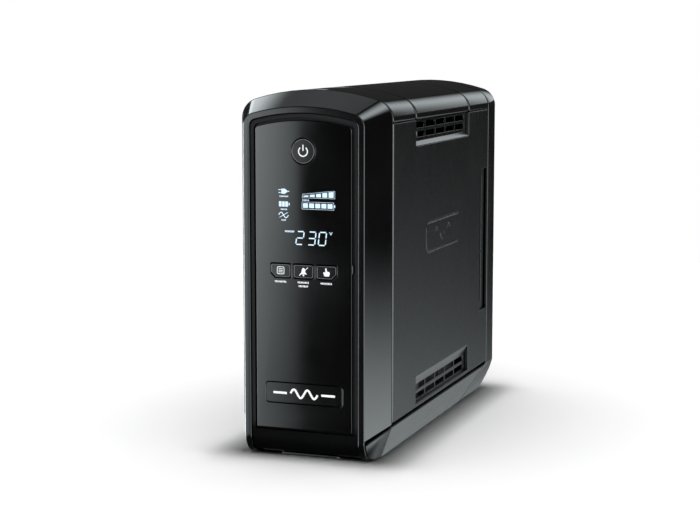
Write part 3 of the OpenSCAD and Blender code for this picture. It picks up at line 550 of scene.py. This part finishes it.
def digit(flat, text, x, z, width=4.6, height=8.0, line=0.72, lean=0.12):
    """One seven-segment digit as leaning bars with small gaps."""
    def corner(across, up):
        rise = up / 2 * height
        return Vector((x + across * width + rise * lean, z + rise))

    for key in DIGITS[text]:
        p, q = (corner(*end) for end in SEGMENTS[key])
        gap = (q - p).normalized() * line * 0.62
        flat.stroke([p + gap, q - gap], line)


# heights of the display's rows, bottom up, in millimetres
READING_Z = 135.9
WAVE_Z = 153.7
METER_Z = 160.0
BATTERY_Z = 160.5
WEDGE_Z = 165.3
PLUG_Z = 168.35

CELLS = 5
CELL_WIDTH = 3.2
OUTLINE = 0.18


def reading(lit):
    """The digits, an input mark before them and a unit mark after them."""
    for text, x in (("2", -5.0), ("3", 2.8), ("0", 9.7)):
        digit(lit, text, x, READING_Z)
    dashes(lit, -8.9, READING_Z + 7.8, 6.4, 1.2)
    top = READING_Z + 8.3
    lit.stroke([(17.1, top), (18.0, top - 1.6), (18.9, top)], 0.4)


def load_meter(lit):
    """A growing wedge with an outline and its cells."""
    low = WEDGE_Z - 0.6
    outline = [(-0.7, low), (20.6, low), (20.6, low + 4.5), (19.4, low + 4.6), (-0.2, low + 2.2)]
    lit.stroke(outline, OUTLINE, closed=True)
    for i in range(CELLS):
        left = 0.2 + i * 4.1
        right = left + CELL_WIDTH
        top = WEDGE_Z + 1.1 + i * 0.62
        lit.poly([(left, WEDGE_Z), (right, WEDGE_Z), (right, top), (left, top - 0.4)])
    dashes(lit, 1.7, WEDGE_Z - 2.0, 4.6, 0.8)


def battery_meter(lit):
    """A battery outline with its cells and a nub."""
    for i in range(CELLS):
        left = -0.1 + i * 4.0
        lit.bar(left, METER_Z - 1.4, left + CELL_WIDTH, METER_Z + 1.4)
    low, high = METER_Z - 2.2, METER_Z + 2.2
    lit.stroke([(-0.8, low), (19.9, low), (19.9, high), (-0.8, high)], OUTLINE, closed=True)
    lit.bar(20.1, METER_Z - 0.8, 20.8, METER_Z + 0.8)


def display():
    """The lit segments behind the faceplate."""
    lit = Flat(face_of("faceplate"))
    reading(lit)
    load_meter(lit)
    battery_meter(lit)
    lit.place("display_segments", "lit", "case")


def status_icons():
    """Plug, battery and crossed wave at the left of the meters, each over a row of ticks."""
    marks = Flat(face_of("faceplate"))
    plug = [(-14.4, 1.55), (-12.2, 1.55), (-10.4, 0.35)]
    marks.poly([(x, PLUG_Z - half) for x, half in plug] + [(x, PLUG_Z + half) for x, half in plug[::-1]])
    for prong in (PLUG_Z - 1.15, PLUG_Z + 0.65):
        marks.bar(-16.3, prong, -14.7, prong + 0.5)
    marks.stroke([(-10.3, PLUG_Z), (-9.2, PLUG_Z)], 0.5)
    dashes(marks, -12.6, PLUG_Z - 3.15, 6.0, 0.9)
    for left in (-16.0, -13.9, -11.8):
        marks.bar(left, BATTERY_Z - 1.6, left + 1.7, BATTERY_Z + 1.6)
    marks.bar(-9.6, BATTERY_Z - 0.8, -8.9, BATTERY_Z + 0.8)
    dashes(marks, -12.6, BATTERY_Z - 3.3, 4.4, 0.9)
    marks.stroke(sine(-16.2, WAVE_Z, 6.4, 1.7), 0.5)
    marks.stroke([(-15.6, WAVE_Z - 1.5), (-10.2, WAVE_Z + 1.7)], 0.35)
    dashes(marks, -12.8, WAVE_Z - 3.1, 3.2, 0.9)
    marks.place("status_icons", "lit", "case")


def key_labels():
    """Rows of ticks below the keys where a real one has words: key, width and drop of each."""
    marks = Flat(face_of("faceplate"))
    rows = (("display_key", 7.8, 6.9), ("mute_key", 7.6, 6.9),
            ("mute_key", 6.4, 9.2), ("control_key", 7.6, 6.9))
    for key, width, drop in rows:
        x, z = middle_of(key)
        dashes(marks, x, z - drop, width, 1.2)
    marks.place("key_labels", "print", "case")


def power_marks():
    """White standby symbol, glowing as painted brightness, and a thin grey ring at the button's rim as a
    painted highlight.
    """
    symbol = Flat.on("power_button")
    symbol.arc(0, -0.1, 2.9, 0.72, start=128, end=412)
    symbol.bar(-0.36, 0.3, 0.36, 3.9)
    symbol.place("power_symbol", "print", "power_button")
    # painted highlight round the button's rim
    rim = Flat.on("power_button", THIN_INK)
    rim.arc(0, 0, 7.2, 0.28, steps=56)
    rim.place("power_ring_highlight", "painted_highlight_print", "power_button")


def key_edge_highlights():
    """A thin grey rim inside each key's edge, a painted highlight; on the outer two it follows the cut
    corner.
    """
    cut = 2.8
    for name, side in (("display_key", -1), ("mute_key", 0), ("control_key", 1)):
        # painted highlight along the key's edge
        rim = Flat.on(name, THIN_INK)
        rim.stroke(rounded(12.0, 7.4, 0.9, side * cut), 0.22, closed=True)
        rim.place(name + "_rim", "painted_highlight_print", name)


def key_icons():
    """A list, a crossed bell and a pointing hand on the three keys."""
    page = Flat.on("display_key")
    middle = 0.1
    page.stroke(rounded(4.5, 4.4, 0.8, z=middle), 0.4, closed=True)
    for z in (middle - 1, middle, middle + 1):
        page.bar(-1.4, z - 0.2, 1.4, z + 0.2)
    page.place("display_key_icon", "print", "display_key")
    bell = Flat.on("mute_key")
    profile = [(2.3, -1.7), (1.3, -0.5), (1.1, 1.2), (0.4, 2.2)]
    bell.poly(profile + [(-x, z) for x, z in profile[::-1]])
    bell.disc(0, -2.4, 0.5, steps=12)
    bell.stroke([(-2.8, -2.6), (3.0, 2.6)], 0.4)
    bell.place("mute_key_icon", "print", "mute_key")
    hand = Flat.on("control_key")
    hand.poly([(-1.2, -2.3), (1.6, -2.3), (2.2, -1.0), (2.1, 0.3), (0.5, 0.7),
               (-0.1, 2.8), (-0.9, 2.6), (-0.6, 0.1), (-1.9, 0.3), (-2.1, -0.3)])
    hand.place("control_key_icon", "print", "control_key")


def badge_mark():
    """Generic mark on the badge: a wave between two bars."""
    mark = Flat.on("badge_plate")
    middle = -0.05
    mark.stroke(sine(-9, middle, 18, 2.6, turns=2, steps=30), 1.3)
    for left in (-20.5, 11.5):
        mark.bar(left, middle - 0.7, left + 9, middle + 0.7)
    mark.place("badge_mark", "print", "case")


def panel_tab():
    """Small finger tab in the groove at the faceplate's right edge, with a painted highlight line on it.
    """
    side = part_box("faceplate")[1].x / MM
    face = face_of("faceplate")
    low, high, inset = 119.0, 124.6, 0.3
    tab = Flat(face + 2.6, thick=2.5)
    tab.bar(side + 0.2, low, side + 1.3, high)
    tab.place("panel_tab", "shell", "case")
    # painted highlight line on the tab's edge
    line = Flat(face + 0.1, THIN_INK)
    line.bar(side + 0.4, low + inset, side + 0.7, high - inset)
    line.place("panel_tab_highlight", "painted_highlight_print", "case")


def rear_marks():
    """Generic marks by the ports, the inlet and the breaker on the rear wall."""
    marks = Flat(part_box("rear_panel")[1].y / MM, out=REAR)
    row = 192.2
    # arrows under the network ports
    for x, up in ((-26, 1), (-6, -1)):
        marks.bar(x - 0.3, row - 1.6, x + 0.3, row + 1.6)
        wings = row + up * 0.6
        marks.poly([(x - 1.3, wings), (x + 1.3, wings), (x, row + up * 2.2)])
    # fork under the data port
    fork = 16
    marks.stroke([(fork, row - 2.4), (fork, row + 2.4)], 0.5)
    marks.disc(fork, row - 2.4, 0.8, steps=14)
    for side, z in ((-1, row), (1, row + 0.6)):
        prong = fork + side * 1.8
        marks.stroke([(prong, z + 1.0), (prong, z + 0.2), (fork, z - 1.0)], 0.4)
    # wave beside the inlet, and a turning arrow round the breaker
    marks.stroke(sine(1.5, 45.5, 7.0, 1.6), 0.5)
    marks.arc(22, 43, 9.6, 0.5, start=200, end=320, steps=24)
    marks.stroke([(27.6, 36.6), (29.4, 36.8), (29.6, 38.8)], 0.5)
    marks.place("rear_marks", "rear_print", "case")


# ---------- stage ----------


def floor_material():
    """Plain pale paper."""
    m = Mat("floor_paper", Roughness=0.9, Specular_IOR_Level=0.0)
    soft = m.noise(3.0, detail=2.0)
    m.use("Base Color", m.tones(soft, grey(0.88), grey(0.90)))
    m.bump(m.noise(800.0, detail=2.0), 0.01, strength=0.3)
    return m.material


def glow_material(name, low, high, start=0.0, sweep=(), tint=(1, 1, 1)):
    """Light from low at the bottom to high at the top, scaled across by one or two fades."""
    m = Mat(name)
    place = m.add("SeparateXYZ", Vector=m.coords["Generated"]).outputs
    strength = m.scaled(place["Z"], low, high, start, 1.0, smooth=True)
    for bright, dark in sweep:
        across = m.scaled(place["X"], 0.0, 1.0, dark, bright, smooth=True)
        strength = m.calc("MULTIPLY", strength, across)
    m.use("Base Color", (0, 0, 0))
    m.use("Specular IOR Level", 0.0)
    m.use("Emission Color", tint)
    m.use("Emission Strength", strength)
    return m.material


def stage_piece(name, mesh, material, camera=False, diffuse=False, glossy=False, shadow=False):
    """Adds a piece of the studio, which only the named rays meet."""
    piece = new_object(name, mesh, material)
    piece.visible_camera = camera
    piece.visible_diffuse = diffuse
    piece.visible_glossy = glossy
    piece.visible_shadow = shadow
    return piece


def floor(paper):
    mesh = bmesh.new()
    bmesh.ops.create_circle(mesh, cap_ends=True, segments=96, radius=0.9)
    stage_piece("floor", mesh, paper, camera=True, diffuse=True)


def dome(name, radius, strength, seen):
    """White surround: one backs the view, one lights the floor; both stay out of reflections."""
    mesh = bmesh.new()
    bmesh.ops.create_uvsphere(mesh, u_segments=48, v_segments=24, radius=radius)
    light = glow_material(name, strength, strength)
    piece = stage_piece(name, mesh, light, camera=seen, diffuse=not seen)
    piece.visible_transmission = False


def world():
    """Faint light from everywhere."""
    studio = bpy.data.worlds.new("studio")
    studio.use_nodes = True
    back = studio.node_tree.nodes["Background"]
    back.inputs["Color"].default_value = (1, 1, 1, 1)
    back.inputs["Strength"].default_value = 0.03
    bpy.context.scene.world = studio


def overhead(strength, angle):
    """Broad even light from straight above."""
    data = bpy.data.lights.new("overhead", "SUN")
    data.energy = strength
    data.angle = math.radians(angle)
    light = bpy.data.objects.new("overhead", data)
    light.location = (0, 0, 2)
    light.visible_glossy = False
    bpy.context.scene.collection.objects.link(light)


def flags(name, paper, height, width):
    """Unseen strips round the base that hold the overhead light off the floor next to it."""
    mesh = bmesh.new()
    half_x, half_y = 43, 116
    rings = []
    for grow in (0, width):
        x, y = (half_x + grow) * MM, (half_y + grow) * MM
        rings.append([mesh.verts.new((sx * x, sy * y, height * MM))
                      for sx, sy in ((-1, -1), (1, -1), (1, 1), (-1, 1))])
    inner, outer = rings
    for i in range(4):
        j = (i + 1) % 4
        mesh.faces.new((inner[i], inner[j], outer[j], outer[i]))
    stage_piece(name, mesh, paper, shadow=True)


COOL = (0.90, 0.98, 1.0)
CARD_MIDDLE = 0.11

# fades across a card: where it is bright and where it is dark, from 0 at its -X side to 1 at its +X
FADE_RIGHT = ((0.0, 1.0),)
PEAK = ((0.5, 0.0), (0.5, 1.0))
PEAK_LATE = ((0.65, 0.0), (0.65, 1.0))


def card(name, azimuth, elevation, low, high, start=0.0, sweep=(), distance=3.0):
    """Curved glowing card, seen only in reflections, between two bearings from +Y towards +X."""
    mesh = bmesh.new()
    columns, rows = 12, 6

    def corner(i, j):
        a = math.radians(azimuth[0] + (azimuth[1] - azimuth[0]) * i / columns)
        e = math.radians(elevation[0] + (elevation[1] - elevation[0]) * j / rows)
        out = distance * math.cos(e)
        up = distance * math.sin(e)
        return mesh.verts.new((out * math.sin(a), out * math.cos(a), CARD_MIDDLE + up))

    grid = [[corner(i, j) for j in range(rows + 1)] for i in range(columns + 1)]
    for i in range(columns):
        for j in range(rows):
            mesh.faces.new((grid[i][j], grid[i + 1][j], grid[i + 1][j + 1], grid[i][j + 1]))
    stage_piece(name, mesh, glow_material(name, low, high, start, sweep, COOL), glossy=True)


def cards():
    """What each surface reflects: bearings, elevations, brightness at the bottom and at the top."""
    # faceplate and rim
    card("front_edge", (200.8, 203.7), (-24, 6), 1.5, 4.2, sweep=FADE_RIGHT)
    card("front_card", (203.7, 250), (-24, 6), 1.5, 4.2)
    # rounded edges of the front shell and of the side panel
    card("left_edges", (250, 318), (-24, 4), 12.0, 12.0)
    card("right_edges", (84, 188), (-26, 30), 2.0, 2.0)
    card("panel_edges", (94, 128), (-24, 8), 6.0, 6.0, distance=2.8)
    # side panel, its rear strip, the skirt and the front shell's flank
    card("right_glow", (17, 42), (-34, -3), 1.75, 0.12)
    card("rear_strip", (13, 17), (-34, -6.5), 1.2, 0.02)
    card("skirt_glow", (0, 13), (-36, -13), 0.9, 0.4)
    card("flank_glow", (55, 77), (-30, -6), 5.2, 0.0, start=0.4375)
    # shoulders and crown of the top
    card("shoulder_glow", (-8, 24), (6, 34), 1.4, 1.4, sweep=PEAK)
    card("front_shoulder", (4, 72), (30, 66), 5.5, 5.5, sweep=PEAK_LATE)
    card("crown_glow", (322, 356), (40, 60), 0.25, 0.45)
    card("corner_strip", (308, 338), (22, 43), 3.4, 0.1, start=0.35)
    # the right side, seen from behind
    card("rear_glow", (140, 165), (-30, 10), 1.2, 0.3)


def stage():
    """The studio: a paper floor in a white surround, lit from above."""
    paper = floor_material()
    floor(paper)
    dome("backdrop", radius=14.0, strength=1.0, seen=True)
    dome("fill", radius=12.0, strength=0.12, seen=False)
    world()
    overhead(strength=6.6, angle=95)
    flags("low_flags", paper, height=9, width=12)
    flags("high_flags", paper, height=24, width=24)
    cards()
    settings = bpy.context.scene.view_settings
    settings.view_transform = "Standard"
    settings.look = "None"


def camera():
    """Stands in front and to the right of the object, turned to it and tilted a little down."""
    data = bpy.data.cameras.new("camera")
    data.sensor_width = 36.0
    data.lens = 87.2
    data.clip_start = 0.05
    data.clip_end = 100.0
    data.dof.use_dof = False
    turn, tilt = 0.3484, 0.1326
    viewer = bpy.data.objects.new("camera", data)
    viewer.location = (0.37903, -1.09212, 0.26397)
    viewer.rotation_euler = (math.pi / 2 - tilt, 0, turn)
    bpy.context.scene.collection.objects.link(viewer)
    bpy.context.scene.camera = viewer


camera()
dress_nodes()
display()
status_icons()
key_labels()
power_marks()
key_edge_highlights()
key_icons()
badge_mark()
panel_tab()
rear_marks()
stage()
